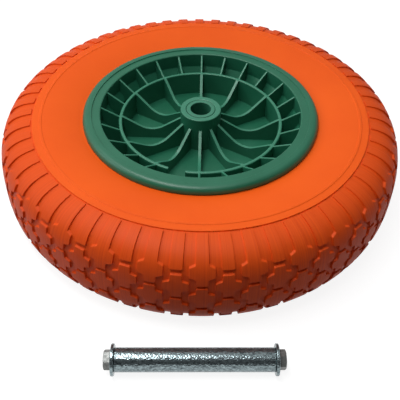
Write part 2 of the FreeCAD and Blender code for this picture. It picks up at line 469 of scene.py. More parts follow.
@dataclass
class Tyre:
    """Foamed tyre. One pitch of its tread is laid out flat, wrapped on, and repeated round the wheel.

    Sizes are in millimetres. A round edge is given by inset and rise of its points from the corner.
    """

    OUTLINE_POINTS: ClassVar[int] = 400
    CROWN_POINTS: ClassVar[int] = 4000
    LIP_ROUND: ClassVar[tuple[Point, ...]] = ((0.0, -0.45), (0.13, -0.12), (0.45, 0.01))
    RIDGE_ROUND: ClassVar[tuple[Point, ...]] = ((0.2, -0.45), (0.45, -0.08), (0.7, 0.0))

    rings: RingOfCopies
    finish: Material
    name: str = "tyre_skin"
    radius: float = 200.0
    half_width: float = 45.5
    crown_centre: float = 150.0
    crown_half_width: float = 45.5
    squareness: float = 3.1
    tread_depth: float = 2.0
    bar_height: float = 1.3
    groove_radius: float = 166.4
    groove_width: float = 1.4
    ridge_radius: float = 158.4
    ridge_width: float = 1.6
    ridge_height: float = 0.5
    bead_radius: float = 118.0
    bead_half_width: float = 36.75
    seat_radius: float = 104.1
    bulge: float = 1.2
    pitches: int = 29
    phase_deg: float = 10.6
    row_spacing: float = 13.7
    cross_width: float = 22.2
    cross_height: float = 24.0
    stem_width: float = 9.8
    arm_tip: float = 8.4
    arm_root: float = 11.2
    cross_gap: float = 4.0
    bar_angle_deg: float = 3.1
    corner: float = 1.0
    lip_width: float = 2.2
    steep_from: float = 34.0
    spacing: float = 4.4
    seam_clearance: float = 0.9
    clear_of_line: float = 1.6
    clear_of_edge: float = 1.0
    columns_per_pitch: int = 8
    sidewall_rows: int = 12
    sharp_deg: float = 70.0

    def __post_init__(self) -> None:
        """Works out the tread's two outlines, top and floor, against the distance along the tread."""
        shapes = (
            (self.radius, self.crown_half_width),
            (self.radius - self.tread_depth, self.crown_half_width - self.bar_height),
        )
        self.groove_top, self.groove_floor = (self._height(*shape) for shape in shapes)
        top, floor = (self._crown(*shape) for shape in shapes)
        run_top, run_floor = self._run(top), self._run(floor)
        self.end = float(run_top[-1])
        along = np.linspace(0.0, self.end, self.OUTLINE_POINTS)
        top_at = self._sampled(along, run_top, top)
        split = float(np.interp(self.steep_from, top[:, 1], run_top))
        floor_split = float(np.interp(self.steep_from, floor[:, 1], run_floor))
        same_height = np.interp(top_at[:, 1], floor[:, 1], run_floor)
        share = np.clip((along - split) / (self.end - split), 0.0, 1.0)
        run = np.where(along < split, same_height, floor_split + share * (run_floor[-1] - floor_split))
        floor_at = self._sampled(run, run_floor, floor)
        self.edge = self.end + self.groove_width
        self.along = np.append(along, self.edge)
        self.top = np.vstack([top_at, (self.groove_radius, self.groove_top)])
        self.floor = np.vstack([floor_at, (self.groove_radius, self.groove_floor)])
        self.pitch = math.tau * self.radius / self.pitches

    def _crown(self, radius: float, half_width: float) -> np.ndarray:
        """Dense points (radius, height) of one outline of the tread, from the middle to the groove.

        Args:
            radius: Radius at the middle plane.
            half_width: Half width of the whole curve, beyond the groove too.

        Returns:
            One point a row.
        """
        turn = np.linspace(0.0, math.pi / 2, self.CROWN_POINTS)
        power = 2 / self.squareness
        across = self.crown_centre + (radius - self.crown_centre) * np.cos(turn) ** power
        height = half_width * np.sin(turn) ** power
        kept = across >= self.groove_radius + self.groove_width
        return np.stack([across[kept], height[kept]], axis=1)

    def _height(self, radius: float, half_width: float) -> float:
        """Height of one outline of the tread at the groove's radius."""
        share = (self.groove_radius - self.crown_centre) / (radius - self.crown_centre)
        return half_width * (1 - share**self.squareness) ** (1 / self.squareness)

    @staticmethod
    def _sampled(stops: np.ndarray, run: np.ndarray, points: np.ndarray) -> np.ndarray:
        """Points at given distances along a row of points."""
        return np.stack([np.interp(stops, run, points[:, k]) for k in (0, 1)], axis=1)

    @staticmethod
    def _run(points: np.ndarray) -> np.ndarray:
        """Distance along a row of points."""
        return np.append(0.0, np.cumsum(np.hypot(*np.diff(points, axis=0).T)))

    def across(self, height: float) -> float:
        """Distance along the tread at a height above the middle plane."""
        return float(math.copysign(np.interp(abs(height), self.top[:-1, 1], self.along[:-1]), height))

    def _at(self, points: np.ndarray, v: float) -> Vector:
        """Point (radius, height) of one outline at a distance along the tread."""
        return Vector([float(np.interp(abs(v), self.along, points[:, k])) for k in (0, 1)])

    def _angle(self, u: float) -> float:
        """Angle of a distance round the tyre at its full radius."""
        return u / self.radius + math.radians(self.phase_deg)

    def wrap(self, u: float, v: float, level: Level) -> Vector:
        """Wraps a point of the flat layout on the tyre.

        Args:
            u: Distance round the tyre at its full radius.
            v: Distance along the tread from the middle plane.
            level: How high the point is above the floor or below the block's top.

        Returns:
            The point on the tyre.
        """
        top, floor = self._at(self.top, v), self._at(self.floor, v)
        up = (top - floor).normalized()
        if level.above_floor is None:
            place = top - up * level.below_top
        else:
            place = floor + up * level.above_floor
        return Vector(polar(place.x, self._angle(u), math.copysign(place.y, v)))

    def blocks(self) -> list[list[Point]]:
        """Outlines of the crosses and bars of one pitch, in the flat layout.

        Returns:
            Corners of each block, anticlockwise.
        """
        outer = 2 * self.row_spacing
        bar = math.radians(self.bar_angle_deg / 2) * self.radius
        low = self.across(self.row_spacing + self.cross_height / 2 + self.cross_gap)
        half = self.pitch / 2
        upper = [
            self._cross(0.0, outer, bar),
            self._cross(half, self.row_spacing, None),
            [(half - bar, low), (half + bar, low), (half + bar, self.end), (half - bar, self.end)],
        ]
        lower = [[(u, -v) for u, v in reversed(outline)] for outline in upper]
        return [self._cross(0.0, 0.0, None)] + upper + lower

    def _cross(self, u: float, height: float, bar: float | None) -> list[Point]:
        """Corners of a cross, whose upper arm may run on as a bar to the groove.

        Args:
            u: Place of its middle round the tyre.
            height: Height of its middle above the middle plane.
            bar: Half width of the bar, or None for a plain cross.

        Returns:
            The corners, anticlockwise.
        """
        stretch = self.radius / float(np.interp(abs(self.across(height)), self.along, self.top[:, 0]))
        wide, stem = self.cross_width / 2 * stretch, self.stem_width / 2 * stretch
        low, low_root, low_tip, high_tip, high_root, high = (
            self.across(height + side * size / 2)
            for side, size in (
                (-1, self.cross_height), (-1, self.arm_root), (-1, self.arm_tip),
                (1, self.arm_tip), (1, self.arm_root), (1, self.cross_height),
            )
        )
        upper = stem
        if bar is not None:
            upper, high = bar, self.end
        return [
            (u - stem, low), (u + stem, low), (u + stem, low_root), (u + wide, low_tip),
            (u + wide, high_tip), (u + upper, high_root), (u + upper, high), (u - upper, high),
            (u - upper, high_root), (u - wide, high_tip), (u - wide, low_tip), (u - stem, low_root),
        ]

    def outline(self, corners: list[Point], inset: float) -> list[Point]:
        """Points of a block's outline, moved in by inset, with rounded corners.

        Args:
            corners: Corners, anticlockwise.
            inset: Distance inwards; below zero it is outwards.

        Returns:
            Points that match from one inset to the next.
        """
        count = len(corners)
        arcs = []
        for i in range(count):
            last, here, after = (Vector(corners[j % count]) for j in (i - 1, i, i + 1))
            before, beyond = (here - last).normalized(), (after - here).normalized()
            in_before, in_beyond = Vector((-before.y, before.x)), Vector((-beyond.y, beyond.x))
            side = 1.0 if before.cross(beyond) > 0 else -1.0
            centre = here + side * self.corner * (in_before + in_beyond)
            middle = (in_before + in_beyond).normalized()
            reach = self.corner - side * inset
            arcs.append([centre - side * reach * way for way in (in_before, middle, in_beyond)])
        points: list[Point] = []
        for i, arc in enumerate(arcs):
            j = (i + 1) % count
            side_length = (Vector(corners[j]) - Vector(corners[i])).length
            pieces = max(1, round(side_length / self.spacing))
            straight = [arc[-1].lerp(arcs[j][0], k / pieces) for k in range(1, pieces)]
            points += [tuple(p) for p in arc + straight]
        return points

    def seam(self) -> list[Point]:
        """Line between two pitches, from low to high, that winds between the arms of the crosses.

        Returns:
            Points of the line.
        """
        even, half_stem, half_wide = -self.pitch / 4, self.stem_width / 2, self.cross_width / 2
        left = (half_stem - self.pitch / 2 - half_wide) / 2
        right = (half_wide - self.pitch / 2 - half_stem) / 2
        off = self.arm_tip / 2 + self.seam_clearance
        row, outer, past_arms = self.row_spacing, 2 * self.row_spacing, self.steep_from + 3.0
        stops = [(0.0, left), (off, left), (row - off, right), (row + off, right)]
        stops += [(outer - off, left), (outer + off, left), (past_arms, even)]
        rows = [(self.across(height), u) for height, u in stops] + [(self.edge, even)]
        upper: list[Point] = []
        for (v0, u0), (v1, u1) in zip(rows, rows[1:]):
            pieces = max(1, round((v1 - v0) / self.spacing))
            upper += [(u0 + (u1 - u0) * k / pieces, v0 + (v1 - v0) * k / pieces) for k in range(pieces)]
        upper.append((even, self.edge))
        return [(u, -v) for u, v in reversed(upper[1:])] + upper

    def border(self) -> list[Point]:
        """Closed outline of one pitch in the flat layout: seam, groove, next seam, groove.

        Returns:
            Points of the outline, anticlockwise.
        """
        seam = self.seam()
        step = self.pitch / self.columns_per_pitch
        across = [step * k - self.pitch / 4 for k in range(1, self.columns_per_pitch)]
        border = [seam[0]] + [(u, -self.edge) for u in across] + [(u + self.pitch, v) for u, v in seam]
        return border + [(u, self.edge) for u in reversed(across)] + seam[:0:-1]

    def tread(self, bm: BMesh) -> None:
        """Adds one pitch of the tread, from groove to groove, to a mesh.

        Args:
            bm: Mesh to add to.
        """
        floor, top = BLOCK_LEVELS[0], BLOCK_LEVELS[-1]
        border, blocks = self.border(), self.blocks()
        points: list[Vector] = []
        levels: list[Level] = []
        edges: list[tuple[int, int]] = []

        def close(outline: list[Point], level: Level) -> None:
            """Adds a closed line of points at one level.

            Args:
                outline: Points of the line.
                level: Level of all of them.
            """
            first, count = len(points), len(outline)
            points.extend(Vector(p) for p in outline)
            levels.extend([level] * count)
            edges.extend((first + i, first + (i + 1) % count) for i in range(count))

        close(border, floor)
        for outline in blocks:
            for level in BLOCK_LEVELS:
                close(self.outline(outline, level.inset), level)
        shifted = [[(u + turn * self.pitch, v) for u, v in b] for b in blocks for turn in (-1, 0, 1)]
        start, spare = border[0][0], 4.0  # more than the seam's swing to each side
        for u in np.arange(start - spare, start + self.pitch + spare, self.spacing):
            for v in np.arange(-self.edge, self.edge, self.spacing):
                spot = Vector((float(u), float(v)))
                if self._gap(spot, border) < self.clear_of_line or not self._holds(spot, border):
                    continue
                inside = any(self._holds(spot, outline) for outline in shifted)
                gap = min(self._gap(spot, outline) for outline in shifted)
                if gap > (top.inset + self.clear_of_edge if inside else self.clear_of_line):
                    points.append(spot)
                    levels.append(top if inside else floor)
        only_inside, least = 1, 1e-6
        result = geometry.delaunay_2d_cdt(points, edges, [list(range(len(border)))], only_inside, least)
        places, faces, origins = result[0], result[2], result[3]
        verts = [
            bm.verts.new(self.wrap(p.x, p.y, levels[origin[0]] if origin else floor))
            for p, origin in zip(places, origins)
        ]
        for face in faces:
            bm.faces.new([verts[i] for i in face])

    @staticmethod
    def _gap(spot: Vector, outline: list[Point]) -> float:
        """Distance from a spot to a closed outline.

        Args:
            spot: Spot in the flat layout.
            outline: Points of the outline.

        Returns:
            The least distance.
        """
        near = math.inf
        for a, b in zip(outline, outline[1:] + outline[:1]):
            start, run = Vector(a), Vector(b) - Vector(a)
            share = min(1.0, max(0.0, (spot - start).dot(run) / max(run.length_squared, TINY**2)))
            near = min(near, (spot - start - run * share).length)
        return near

    @staticmethod
    def _holds(spot: Vector, outline: list[Point]) -> bool:
        """Whether a spot lies within a closed outline.

        Args:
            spot: Spot in the flat layout.
            outline: Points of the outline.

        Returns:
            True if a line from the spot crosses the outline an odd number of times.
        """
        inside = False
        for (ax, ay), (bx, by) in zip(outline, outline[1:] + outline[:1]):
            if (ay > spot.y) != (by > spot.y) and spot.x < ax + (bx - ax) * (spot.y - ay) / (by - ay):
                inside = not inside
        return inside

    def sidewall(self) -> list[Point]:
        """Upper half of the outline from the groove's floor to the seat on the rim.

        Returns:
            Points as (radius, height).
        """
        band = self.half_width - self.ridge_height
        inner, outer = self.ridge_radius - self.ridge_width, self.ridge_radius + self.ridge_width
        start, end = Vector((inner, band)), Vector((self.bead_radius, self.bead_half_width))
        bulged = []
        for k in range(self.sidewall_rows + 1):
            share = k / self.sidewall_rows
            flat = start.lerp(end, share)
            bulged.append((flat.x, flat.y + self.bulge * 4 * share * (1 - share)))
        return [
            (self.groove_radius, self.groove_floor),
            *((self.groove_radius - inset, self.groove_top + rise) for inset, rise in self.LIP_ROUND),
            (self.groove_radius - self.lip_width, band),
            (outer, band),
            *((outer - inset, self.half_width + rise) for inset, rise in self.RIDGE_ROUND),
            *((inner + inset, self.half_width + rise) for inset, rise in self.RIDGE_ROUND[::-1]),
            *bulged,
            (self.seat_radius, self.bead_half_width),
        ]

    def build(self) -> Object:
        """Makes the tyre in place of its solid.

        Returns:
            The finished tyre.
        """
        bm = bmesh.new()
        self.tread(bm)
        half = self.sidewall()
        outline = half + [(r, -z) for r, z in reversed(half)]
        step = self.pitch / self.columns_per_pitch
        angles = [self._angle(step * k - self.pitch / 4) for k in range(self.columns_per_pitch + 1)]
        rows = rows_of(bm, [[polar(r, a, z) for r, z in outline] for a in angles])
        for row, after in zip(rows, rows[1:]):
            strip(bm, row, after, closed=False)
        pitch = mesh_of(bm, self.name, self.sharp_deg)
        piece = self.rings.repeat(pitch, self.pitches, self.finish)
        return declared(piece, "tyre", "tyre")


@dataclass
class Rim:
    """Moulded rim: turned body, open ring wall, dipped spokes and short ribs, joined to one skin.

    Sizes are in millimetres.
    """

    rings: RingOfCopies
    finish: Material
    name: str = "rim_skin"
    half_width: float = 44.25
    flange_radius: float = 118.0
    flange_thickness: float = 7.4
    flange_round: float = 5.5
    barrel_radius: float = 104.0
    barrel_inside: float = 100.5
    ledge_radius: float = 94.0
    ledge_top: float = 27.25
    ledge_foot: float = 17.25
    flange_bead_radius: float = 109.0
    flange_bead_rise: float = 1.1
    web_half: float = 5.0
    ring_radius: float = 83.0
    ring_inside: float = 79.4
    ring_half_height: float = 31.0
    ring_start_deg: float = 260.85
    ring_sweep_deg: float = 348.3
    ring_round: float = 1.4
    spokes: int = 12
    spoke_thickness: float = 2.8
    spoke_dip: float = 19.2
    dip_round: float = 22.0
    spoke_end_round: float = 6.0
    overlap: float = 3.0
    rib_thickness: float = 2.4
    rib_rise: float = 11.5
    rib_overlap: float = 1.75
    missing_rib: int = 17
    hub_radius: float = 20.4
    hub_half_length: float = 43.0
    seat_radius: float = 14.5
    seat_floor: float = 19.0
    core_radius: float = 11.75
    edge: float = 0.55
    rib_edge: float = 0.85
    sharp_deg: float = 32.0
    columns: int = 240

    def body(self) -> BMesh:
        """Hub, web, stepped barrel and flanges.

        Returns:
            A closed mesh.
        """
        top = self.half_width
        flat = top - self.flange_bead_rise
        half = [
            (self.core_radius, self.seat_floor, 0.0),
            (self.seat_radius, self.seat_floor, 0.0),
            (self.seat_radius, self.hub_half_length, 1.4),
            (self.hub_radius, self.hub_half_length, 0.9),
            (self.hub_radius, self.web_half, 0.0),
            (self.ledge_radius, self.web_half, 1.6),
            (self.ledge_radius, self.ledge_foot, 1.2),
            (self.barrel_inside, self.ledge_top, 2.0),
            (self.barrel_inside, flat, 1.3),
            (self.flange_bead_radius, flat, 0.3),
            (self.flange_bead_radius, top, 0.4),
            (self.flange_radius, top, self.flange_round),
            (self.flange_radius, top - self.flange_thickness, 1.0),
            (self.barrel_radius, top - self.flange_thickness, 0.8),
        ]
        return turned(softened(both_halves(half), steps=5), self.columns)

    def ring_wall(self) -> BMesh:
        """Ring wall with round top and the gap for a valve.

        Returns:
            A closed mesh.
        """
        radii = (self.ring_inside, self.ring_radius)
        half = [(radius, self.ring_half_height, self.ring_round) for radius in radii]
        outline = softened(both_halves(half), steps=4)
        wall = turned(outline, self.columns, self.ring_start_deg, self.ring_sweep_deg)
        return eased(wall, self.edge, least_deg=60.0)

    def _plate(self, top: list[Corner], thickness: float, steps: int) -> BMesh:
        """Upright plate across the wheel's middle plane, with round edges."""
        return eased(extruded(softened(both_halves(top), steps), thickness), self.rib_edge, steps=3)

    def spoke(self) -> BMesh:
        """Spoke plate whose edges dip towards the web in a round-bottomed V.

        Returns:
            A closed mesh on the X axis.
        """
        end = self.ring_half_height
        middle = (self.hub_radius + self.ring_inside) / 2
        half_span = (self.ring_inside - self.hub_radius) / 2
        slope = math.atan2(self.spoke_dip, half_span)
        reach = min(self.dip_round * math.sin(slope), half_span / 2)
        inside, outside = self.hub_radius - self.overlap, (self.ring_inside + self.ring_radius) / 2
        top = [
            (inside, end, 0.0),
            (self.hub_radius, end, self.spoke_end_round),
            (middle, end - self.spoke_dip, reach / math.sin(slope)),
            (self.ring_inside, end, self.spoke_end_round),
            (outside, end, 0.0),
        ]
        return self._plate(top, self.spoke_thickness, steps=8)

    def short_rib(self) -> BMesh:
        """Short rib that rises from the ring wall to the barrel.

        Returns:
            A closed mesh on the X axis.
        """
        low = self.ring_half_height
        inside, outside = (self.ring_inside + self.ring_radius) / 2, self.barrel_inside + self.rib_overlap
        top = [(inside, low, 0.0), (self.ring_radius, low, 0.0), (outside, low + self.rib_rise, 0.0)]
        return self._plate(top, self.rib_thickness, steps=3)

    def build(self) -> Object:
        """Makes the rim in place of its solid.

        Returns:
            The finished rim.
        """
        piece = placed(mesh_of(self.body(), self.name), self.finish)
        spokes, ribs = mesh_of(self.spoke(), "spokes"), mesh_of(self.short_rib(), "short_ribs")
        others = [
            placed(mesh_of(self.ring_wall(), "ring_wall")),
            self.rings.repeat(spokes, self.spokes, self.finish),
            self.rings.repeat(ribs, 2 * self.spokes, self.finish, self.missing_rib),
        ]
        for other in others:
            union = piece.modifiers.new("union", "BOOLEAN")
            union.operation = "UNION"
            union.solver = "MANIFOLD"
            union.object = other
        baked(piece)
        for other in others:
            bpy.data.objects.remove(other)
        self._tidy(piece)
        return declared(piece, "rim", "rim")

    def _tidy(self, piece: Object) -> None:
        """Merges what the union left double and marks the edges again.

        Args:
            piece: The joined rim.
        """
        joined_within, least_edge = 0.01 * MM, 0.001 * MM
        bm = bmesh.new()
        bm.from_mesh(piece.data)
        bmesh.ops.remove_doubles(bm, verts=bm.verts, dist=joined_within)
        bmesh.ops.dissolve_degenerate(bm, edges=bm.edges, dist=least_edge)
        smoothed(bm, self.sharp_deg)
        for face in bm.faces:
            face.material_index = 0
        LOG.info("%s: %d open edges", piece.name, sum(not e.is_manifold for e in bm.edges))
        bm.to_mesh(piece.data)
        bm.free()


@dataclass
class Bush:
    """Plain bush pressed into one end of the hub.

    Sizes are in millimetres.
    """

    finish: Material
    side: Side
    bore_radius: float = 10.25
    outer_radius: float = 14.5
    end: float = 43.0
    length: float = 24.0
    edge: float = 0.6
    outer_edge: float = 0.9
    columns: int = 120

    def build(self) -> Object:
        """Makes the bush in place of its solid.

        Returns:
            The finished bush.
        """
        top, bottom = self.end, self.end - self.length
        outline = softened(
            [
                (self.bore_radius, top, self.edge),
                (self.outer_radius, top, self.outer_edge),
                (self.outer_radius, bottom, 0.0),
                (self.bore_radius, bottom, 0.0),
            ],
            steps=4,
        )
        bm = turned([(r, self.side.value * z) for r, z in outline], self.columns)
        return dressed(bm, f"bush_{self.side.pick('upper', 'lower')}", "bush", self.finish)


@dataclass
class AxleSet:
    """Axle bar with a washer and a bolt at each end, laid in front of the wheel.

    Sizes are in millimetres.
    """

    zinc: Material
    plating: Material
    bar_radius: float = 10.0
    bar_half_length: float = 65.0
    bar_edge: float = 0.8
    tap_radius: float = 4.8
    tap_end: float = 36.5
    tap_edge: float = 0.4
    washer_radius: float = 12.7
    washer_thickness: float = 2.5
    washer_hole: float = 5.55
    washer_edge: float = 0.5
    washer_hole_edge: float = 0.25
    bolt_radius: float = 4.75
    bolt_length: float = 25.0
    head_height: float = 6.0
    face_height: float = 0.6
    flats: float = 14.3
    chamfer_deg: float = 30.0
    head_turn_deg: float = 14.5
    columns_per_flat: int = 16
    tip_edge: float = 0.6
    face_edge: float = 0.15
    face_corner_inset: float = 0.12
    head_edge: float = 0.25
    crown_insets: Point = (0.55, 1.1)
    bolt_sharp_deg: float = 30.0
    distance: float = 234.7
    height: float = -32.8
    turn_deg: float = 1.5
    columns: int = 144

    def lay(self, bm: BMesh, side: Side = Side.PLUS) -> BMesh:
        """Lays a piece that was made along +Z in front of the wheel.

        Args:
            bm: Mesh to move.
            side: End of the axle that its +Z end points to.

        Returns:
            The same mesh.
        """
        lying = Matrix.Rotation(side.value * math.pi / 2, 4, "Y")
        turn = Matrix.Rotation(math.radians(self.turn_deg), 4, "Z")
        place = Matrix.Translation((0.0, -self.distance, self.height))
        bm.transform(place @ turn @ lying)
        return bm

    def bar(self) -> Object:
        """Makes the bar with its tapped ends in place of its solid.

        Returns:
            The finished bar.
        """
        end = self.bar_half_length
        half = [
            (TINY, self.tap_end, 0.0),
            (self.tap_radius, self.tap_end, 0.0),
            (self.tap_radius, end, self.tap_edge),
            (self.bar_radius, end, self.bar_edge),
        ]
        upper = softened(half, steps=4)
        outline = upper + [(r, -z) for r, z in reversed(upper)]
        return dressed(self.lay(turned(outline, self.columns)), "axle_bar", "zinc", self.zinc)

    def washer(self, side: Side) -> Object:
        """Makes one washer in place of its solid.

        Args:
            side: End of the bar it lies on.

        Returns:
            The finished washer.
        """
        start, end = self.bar_half_length, self.bar_half_length + self.washer_thickness
        outline = softened(
            [
                (self.washer_hole, start, self.washer_hole_edge),
                (self.washer_radius, start, self.washer_edge),
                (self.washer_radius, end, self.washer_edge),
                (self.washer_hole, end, self.washer_hole_edge),
            ]
        )
        washer = self.lay(turned(outline, self.columns), side)
        return dressed(washer, f"washer_{side.pick('right', 'left')}", "zinc", self.zinc)

    def bolt(self, side: Side) -> Object:
        """Makes one hexagon bolt in place of its solid.

        Args:
            side: End of the bar it is screwed into.

        Returns:
            The finished bolt.
        """
        seat = self.bar_half_length + self.washer_thickness
        crown, face, tip = seat + self.head_height, seat + self.face_height, seat - self.bolt_length
        half_flats, edge = self.flats / 2, self.face_edge
        slope = math.tan(math.radians(self.chamfer_deg))
        columns = HEXAGON * self.columns_per_flat
        angles = [math.radians(self.head_turn_deg) + math.tau * k / columns for k in range(columns)]
        off = [math.tau * (k % self.columns_per_flat) / columns - math.pi / HEXAGON for k in range(columns)]
        reach = [half_flats / math.cos(angle) for angle in off]

        def ring(radii: list[float], heights: list[float]) -> list[Corner]:
            """Points round the bolt's axis, one in each column."""
            return [polar(r, a, z) for r, a, z in zip(radii, angles, heights)]

        def circle(radius: float, height: float) -> list[Corner]:
            """Level circle round the bolt's axis."""
            return ring([radius] * columns, [height] * columns)

        def chamfer(inset: float, drop: float) -> list[Corner]:
            """Six-sided line on the chamfer of the head, a little in and down."""
            return ring([q - inset for q in reach], [crown - (q - half_flats) * slope - drop for q in reach])

        inner_edge = self.head_edge * 0.6
        rings = [
            circle(TINY, tip),
            circle(self.bolt_radius - self.tip_edge, tip),
            circle(self.bolt_radius, tip + self.tip_edge),
            circle(self.bolt_radius, seat),
            circle(half_flats - edge, seat),
            circle(half_flats, seat + edge),
            circle(half_flats, face),
            ring([q - self.face_corner_inset for q in reach], [face] * columns),
            ring(reach, [face + edge] * columns),
            chamfer(0.0, self.head_edge),
            chamfer(inner_edge, inner_edge / 4),
            *(circle(half_flats - inset, crown) for inset in self.crown_insets),
            circle(TINY, crown),
        ]
        bm = bmesh.new()
        made = rows_of(bm, rings)
        for low, high in zip(made, made[1:]):
            strip(bm, low, high)
        for end in (made[0], made[-1]):
            bm.faces.new(end)
        name = f"bolt_{side.pick('right', 'left')}"
        return dressed(self.lay(bm, side), name, "bolt", self.plating, self.bolt_sharp_deg)

    def build(self) -> list[Object]:
        """Makes the whole axle set."""
        return [self.bar()] + [make(side) for make in (self.washer, self.bolt) for side in Side]


class ShaderKit:
    """Shared shader node groups, each built once."""

    def __init__(self) -> None:
        """Builds the groups."""
        self.mottle = self._mottle()
        self.grain = self._grain()
        self.zones = {Zone.TREAD: self._streaks_with_painted_shade(), Zone.TOPS: self._painted_highlight_tops()}

    @staticmethod
    def _group(name: str, inputs: dict[str, float], output: str) -> tuple[NodeBuilder, NodeOutputs]:
        """Starts a group with float inputs and one float output.

        Args:
            name: Name of the group.
            inputs: Value of each input, by its name.
            output: Name of the output.

        Returns:
            A builder for the group, and what the group is given.
        """
        tree = bpy.data.node_groups.new(name, "ShaderNodeTree")
        for label, value in inputs.items():
            socket = tree.interface.new_socket(label, in_out="INPUT", socket_type="NodeSocketFloat")
            socket.default_value = value
        tree.interface.new_socket(output, in_out="OUTPUT", socket_type="NodeSocketFloat")
        nodes = NodeBuilder(tree)
        return nodes, nodes.add("NodeGroupInput").outputs

    def _mottle(self) -> NodeTree:
        """Mask of soft patches over the surface.

        Returns:
            The group.
        """
        nodes, given = self._group("mottle", {"Patches": 20.0, "Contrast": 1.0}, "Mask")
        noise = nodes.noise(nodes.place(), given["Patches"], detail=4.0, roughness=0.55)
        scaled = nodes.math("MULTIPLY", nodes.math("SUBTRACT", noise, 0.5), given["Contrast"])
        return nodes.closed(nodes.math("ADD", scaled, 0.5, clamp=True))

    def _grain(self) -> NodeTree:
        """Height of a moulded skin: fine grain over slow waves.

        Returns:
            The group.
        """
        nodes, given = self._group("grain", {"Fine": 900.0, "Waves": 60.0, "Wave Share": 0.4}, "Height")
        place = nodes.place()
        fine = nodes.noise(place, given["Fine"], detail=2.0)
        waves = nodes.noise(place, given["Waves"], detail=1.0)
        return nodes.closed(nodes.math("MULTIPLY_ADD", waves, given["Wave Share"], fine))

    @staticmethod
    def _radius(nodes: NodeBuilder, at: NodeOutputs) -> NodeSocket:
        """Distance of a point from the wheel's axis.

        Args:
            nodes: Builder of the tree that asks.
            at: Outputs X, Y and Z of the point.

        Returns:
            Output with the distance.
        """
        level = nodes.add("ShaderNodeCombineXYZ", {"X": at["X"], "Y": at["Y"]})
        length = nodes.add("ShaderNodeVectorMath", {0: level.outputs[0]}, operation="LENGTH")
        return length.outputs["Value"]

    def _streaks_with_painted_shade(self) -> NodeTree:
        """Mask of the tread beyond a radius: fine mould streaks across it, and painted shade that is weaker
        at its sides and stronger towards the middle plane.

        Returns:
            The group.
        """
        sizes = {"Inner Radius": 0.1665, "Streaks": 110.0}
        nodes, given = self._group(Zone.TREAD.value, sizes, "Mask")
        at = nodes.parts(nodes.place())
        beyond = nodes.math("GREATER_THAN", self._radius(nodes, at), given["Inner Radius"])
        streaks = nodes.add(
            "ShaderNodeTexNoise",
            {
                "W": nodes.math("ARCTAN2", at["Y"], at["X"]),
                "Scale": given["Streaks"],
                "Detail": 3.0,
                "Roughness": 0.6,
            },
            noise_dimensions="1D",
        )
        streaked = nodes.spread(streaks.outputs["Fac"], 0.3, 0.7, low=0.36, high=0.74)
        off_middle = nodes.math("ABSOLUTE", at["Z"])
        # painted shade: the darkening grows towards the middle plane, where the tread turns away from the
        # light
        weight = nodes.spread(off_middle, 0.043, 0.022, low=0.85, high=1.2)
        return nodes.closed(nodes.math("MULTIPLY", nodes.math("MULTIPLY", streaked, beyond), weight))

    def _painted_highlight_tops(self) -> NodeTree:
        """Mask of a painted highlight on level faces above a height and within a radius: rib tops and hub
        ends.

        Returns:
            The group.
        """
        sizes = {"Outer Radius": 0.101, "Height": 0.0075}
        nodes, given = self._group(Zone.TOPS.value, sizes, "Mask")
        where = nodes.add("ShaderNodeTexCoord").outputs
        at, facing = nodes.parts(where["Object"]), nodes.parts(where["Normal"])
        within = nodes.math("LESS_THAN", self._radius(nodes, at), given["Outer Radius"])
        high = nodes.math("GREATER_THAN", nodes.math("ABSOLUTE", at["Z"]), given["Height"])
        # painted highlight: level faces get a lighter colour, as where the overhead light glints on them
        level = nodes.spread(nodes.math("ABSOLUTE", facing["Z"]), 0.6, 0.85)
        return nodes.closed(nodes.math("MULTIPLY", nodes.math("MULTIPLY", within, high), level))


def opaque(colour: Colour) -> tuple[float, float, float, float]:
    """Colour for a node's socket, with full cover."""
    return (*colour, 1.0)


def grey(level: float) -> tuple[float, float, float, float]:
    """Grey of a level for a node's socket."""
    return opaque((level, level, level))


def new_material(name: str) -> tuple[Material, NodeBuilder]:
    """Starts a material, with a builder for its nodes.

    Args:
        name: Name of the material.

    Returns:
        The material and the builder.
    """
    made = bpy.data.materials.new(name)
    made.use_nodes = True
    return made, NodeBuilder(made.node_tree)


@dataclass(frozen=True)
class MouldedFinish:
    """Moulded foam or plastic: two close shades, a fine grain, a soft gloss and a zone whose colour carries
    painted light.

    The depth of the grain is in millimetres.
    """

    BUMP: ClassVar[float] = 0.6

    name: str
    dark: Colour
    light: Colour
    patches: float
    contrast: float
    roughness: Point
    specular: float
    fine: float
    waves: float
    depth: float
    # zone and zone_shade: where the painted light lies and its colour, painted shade on the tread or a
    # painted highlight on tops
    zone: Zone
    zone_shade: Colour

    def material(self, kit: ShaderKit) -> Material:
        """Builds the material from the shared groups.

        Args:
            kit: The shared groups.

        Returns:
            The material.
        """
        made, nodes = new_material(self.name)
        patches = {"Patches": self.patches, "Contrast": self.contrast}
        mottle = nodes.add("ShaderNodeGroup", patches, node_tree=kit.mottle).outputs["Mask"]
        zone = nodes.add("ShaderNodeGroup", node_tree=kit.zones[self.zone]).outputs["Mask"]
        scales = {"Fine": self.fine, "Waves": self.waves}
        grain = nodes.add("ShaderNodeGroup", scales, node_tree=kit.grain).outputs["Height"]
        shade = nodes.blend(mottle, opaque(self.dark), opaque(self.light))
        bump = nodes.add(
            "ShaderNodeBump", {"Strength": self.BUMP, "Distance": self.depth * MM, "Height": grain}
        )
        nodes.set(
            made.node_tree.nodes["Principled BSDF"],
            {
                # the zone's painted light is mixed over the mottled shades
                "Base Color": nodes.blend(zone, shade, opaque(self.zone_shade)),
                "Roughness": nodes.spread(mottle, 0.0, 1.0, *self.roughness),
                "Specular IOR Level": self.specular,
                "Normal": bump.outputs["Normal"],
            },
        )
        return made


